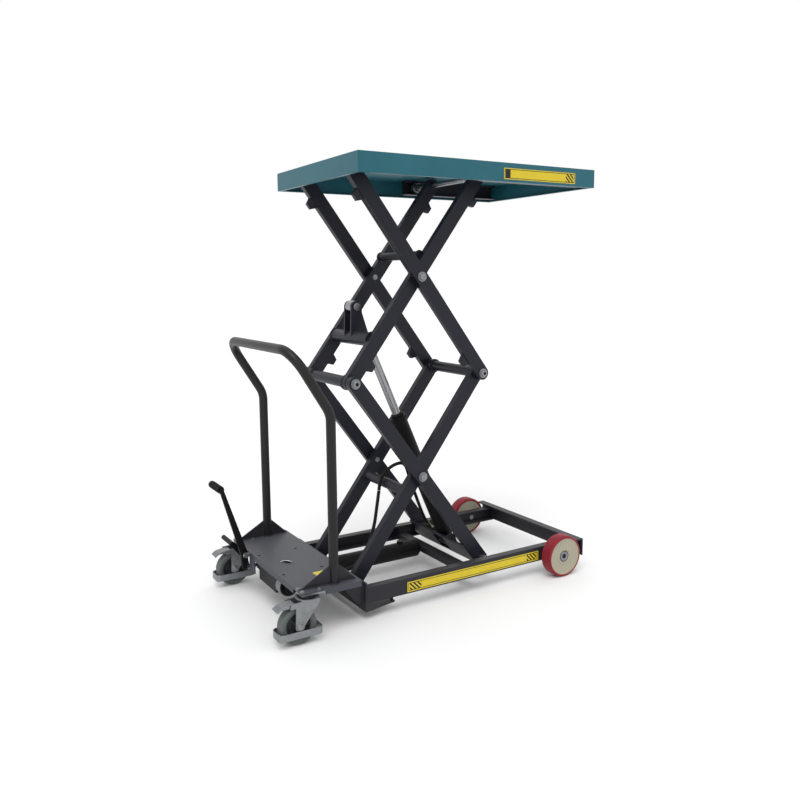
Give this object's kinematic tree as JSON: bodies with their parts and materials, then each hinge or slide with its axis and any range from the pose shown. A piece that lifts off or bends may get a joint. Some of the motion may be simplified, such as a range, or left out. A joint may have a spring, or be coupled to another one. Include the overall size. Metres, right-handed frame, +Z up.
{
  "type": "scissor lift table",
  "caption": "Mobile hydraulic lift table: platform on two stacked scissor stages, wheeled base, push handle, foot pump pedal.",
  "frame": {"origin": "on the floor, under the middle of the whole table's box", "axes": "+X from the push handle towards the fixed front wheels, +Z up, drawn fully raised"},
  "size_m": [1.3274, 0.67, 1.5405],
  "materials": {
    "frame": "satin dark grey paint, bar-end wear",
    "arms": "satin blue-grey paint",
    "deck": "satin grey paint",
    "handle": "semi-gloss dark grey paint",
    "platform": "semi-gloss teal paint",
    "hydraulic_black": "gloss black paint",
    "zinc": "zinc plated",
    "chrome": "hard chrome, polished",
    "brass": "machined brass",
    "hose": "ribbed black rubber",
    "grip": "matt black rubber",
    "decal": "vinyl film, plain warning bands",
    "red_polyurethane": "cast polyurethane tread",
    "wheel_core": "cream paint over cast iron",
    "castor_rubber": "grey elastic rubber"
  },
  "bodies": {
    "base": {"rail_right": "frame", "rail_left": "frame", "rear_cross_member": "frame", "front_cross_member": "frame", "mid_cross_bar": "frame", "base_pivot_pins": "zinc", "deck_plate": "deck", "deck_gussets": "frame", "handle_tube": "handle", "pump_body": "hydraulic_black", "oil_reservoir": "hydraulic_black", "hose_lower": "hose", "pump_fitting": "brass", "deck_bolts": "zinc", "front_axles": "zinc", "castor_plates": "zinc", "base_decals": "decal"},
    "lower_inner": {"lower_inner_arms": "arms", "lower_cross_tube": "arms", "lower_centre_pins": "zinc", "mid_right_shaft": "arms", "hose_upper": "hose"},
    "lower_outer": {"lower_outer_arms": "arms", "cylinder_saddle": "arms", "lower_roller_axles": "zinc", "cylinder_fittings": "brass"},
    "upper_inner": {"upper_inner_arms": "arms", "upper_cross_tube": "arms", "lift_tube": "arms", "mid_left_shaft": "arms", "upper_centre_pins": "zinc", "upper_shaft": "zinc", "rod_pin": "chrome"},
    "upper_outer": {"upper_outer_arms": "arms"},
    "platform": {"platform_pan": "platform", "platform_tracks": "arms", "platform_decal": "decal"},
    "cylinder_rod": {"piston_rod": "chrome"},
    "cylinder_barrel": {"barrel": "hydraulic_black", "gland": "hydraulic_black"},
    "pump_pedal": {"pedal_lever": "hydraulic_black", "pedal_grip": "grip"},
    "pump_plunger": {"pump_plunger": "chrome"},
    "release_lever": {"release_lever": "hydraulic_black"},
    "lower_roller_right": {"lower_roller_right": "zinc"},
    "upper_roller_right": {"upper_roller_right": "zinc"},
    "front_wheel_right": {"front_tyre_right": "red_polyurethane", "front_core_right": "wheel_core"},
    "castor_fork_right": {"castor_fork_right": "zinc", "castor_guard_right": "zinc"},
    "castor_wheel_right": {"castor_wheel_right": "castor_rubber"},
    "castor_brake_right": {"castor_brake_right": "zinc"},
    "lower_roller_left": {"lower_roller_left": "zinc"},
    "upper_roller_left": {"upper_roller_left": "zinc"},
    "front_wheel_left": {"front_tyre_left": "red_polyurethane", "front_core_left": "wheel_core"},
    "castor_fork_left": {"castor_fork_left": "zinc", "castor_guard_left": "zinc"},
    "castor_wheel_left": {"castor_wheel_left": "castor_rubber"},
    "castor_brake_left": {"castor_brake_left": "zinc"}
  },
  "joints": [
    {"name": "lift", "type": "hinge", "parent": "base", "child": "lower_inner", "pos_m": [-0.28928, 0, 0.087], "axis": [0, 1, 0], "range_deg": [0, 45.5], "deforming": ["hose_lower"]},
    {"name": "lower_cross", "type": "hinge", "parent": "lower_inner", "child": "lower_outer", "pos_m": [-0.02178, 0, 0.44262], "axis": [0, 1, 0], "range_deg": [-91, 0], "deforming": ["hose_upper"]},
    {"name": "right_knee", "type": "hinge", "parent": "lower_inner", "child": "upper_outer", "pos_m": [0.24572, 0, 0.79825], "axis": [0, 1, 0], "range_deg": [-91, 0]},
    {"name": "left_knee", "type": "hinge", "parent": "lower_outer", "child": "upper_inner", "pos_m": [-0.28928, 0, 0.79825], "axis": [0, 1, 0], "range_deg": [0, 91]},
    {"name": "platform_level", "type": "hinge", "parent": "upper_outer", "child": "platform", "pos_m": [-0.28928, 0, 1.5095], "axis": [0, 1, 0], "range_deg": [0, 45.5]},
    {"name": "rod_swing", "type": "hinge", "parent": "upper_inner", "child": "cylinder_rod", "pos_m": [-0.19328, 0, 1.05025], "axis": [0, 1, 0], "range_deg": [-91.55, 0]},
    {"name": "cylinder_stroke", "type": "slide", "parent": "cylinder_rod", "child": "cylinder_barrel", "axis": [-0.4025, 0, 0.9154], "range_m": [0, 0.3867]},
    {"name": "lower_roller_right_spin", "type": "hinge", "parent": "lower_outer", "child": "lower_roller_right", "pos_m": [0.24572, -0.2545, 0.087], "axis": [0, 1, 0], "continuous": true},
    {"name": "lower_roller_left_spin", "type": "hinge", "parent": "lower_outer", "child": "lower_roller_left", "pos_m": [0.24572, 0.2545, 0.087], "axis": [0, 1, 0], "continuous": true},
    {"name": "upper_roller_right_spin", "type": "hinge", "parent": "upper_inner", "child": "upper_roller_right", "pos_m": [0.24572, -0.2545, 1.5095], "axis": [0, 1, 0], "continuous": true},
    {"name": "upper_roller_left_spin", "type": "hinge", "parent": "upper_inner", "child": "upper_roller_left", "pos_m": [0.24572, 0.2545, 1.5095], "axis": [0, 1, 0], "continuous": true},
    {"name": "front_wheel_right_spin", "type": "hinge", "parent": "base", "child": "front_wheel_right", "pos_m": [0.53772, -0.31, 0.08], "axis": [0, 1, 0], "continuous": true},
    {"name": "front_wheel_left_spin", "type": "hinge", "parent": "base", "child": "front_wheel_left", "pos_m": [0.53772, 0.31, 0.08], "axis": [0, 1, 0], "continuous": true},
    {"name": "castor_right_swivel", "type": "hinge", "parent": "base", "child": "castor_fork_right", "pos_m": [-0.53328, -0.296, 0.15], "axis": [0, 0, 1], "continuous": true},
    {"name": "castor_right_spin", "type": "hinge", "parent": "castor_fork_right", "child": "castor_wheel_right", "pos_m": [-0.57128, -0.296, 0.0625], "axis": [0, 1, 0], "continuous": true},
    {"name": "castor_right_brake", "type": "hinge", "parent": "castor_fork_right", "child": "castor_brake_right", "pos_m": [-0.59128, -0.296, 0.134], "axis": [0, -1, 0], "range_deg": [0, 10]},
    {"name": "castor_left_swivel", "type": "hinge", "parent": "base", "child": "castor_fork_left", "pos_m": [-0.53328, 0.296, 0.15], "axis": [0, 0, 1], "continuous": true},
    {"name": "castor_left_spin", "type": "hinge", "parent": "castor_fork_left", "child": "castor_wheel_left", "pos_m": [-0.57128, 0.296, 0.0625], "axis": [0, 1, 0], "continuous": true},
    {"name": "castor_left_brake", "type": "hinge", "parent": "castor_fork_left", "child": "castor_brake_left", "pos_m": [-0.59128, 0.296, 0.134], "axis": [0, -1, 0], "range_deg": [0, 10]},
    {"name": "pedal", "type": "hinge", "parent": "base", "child": "pump_pedal", "pos_m": [-0.57528, 0.15, 0.16], "axis": [0, -1, 0], "range_deg": [0, 30], "stiffness_Nm_per_rad": 6, "springref_deg": -11.46},
    {"name": "plunger_stroke", "type": "slide", "parent": "base", "child": "pump_plunger", "axis": [1, 0, 0], "range_m": [0, 0.03]},
    {"name": "release", "type": "hinge", "parent": "base", "child": "release_lever", "pos_m": [-0.57528, 0.18, 0.16], "axis": [0, -1, 0], "range_deg": [0, 20], "stiffness_Nm_per_rad": 3, "springref_deg": -11.46}
  ],
  "couplings": [
    {"joint": "lower_cross", "follows": "lift", "ratio": -2},
    {"joint": "right_knee", "follows": "lift", "ratio": -2},
    {"joint": "left_knee", "follows": "lift", "ratio": 2},
    {"joint": "platform_level", "follows": "lift", "ratio": 1},
    {"joint": "rod_swing", "follows": "lift", "ratio": -2.0012},
    {"joint": "cylinder_stroke", "follows": "lift", "m_per_rad": 0.48441},
    {"joint": "plunger_stroke", "follows": "pedal", "m_per_rad": 0.04966}
  ]
}
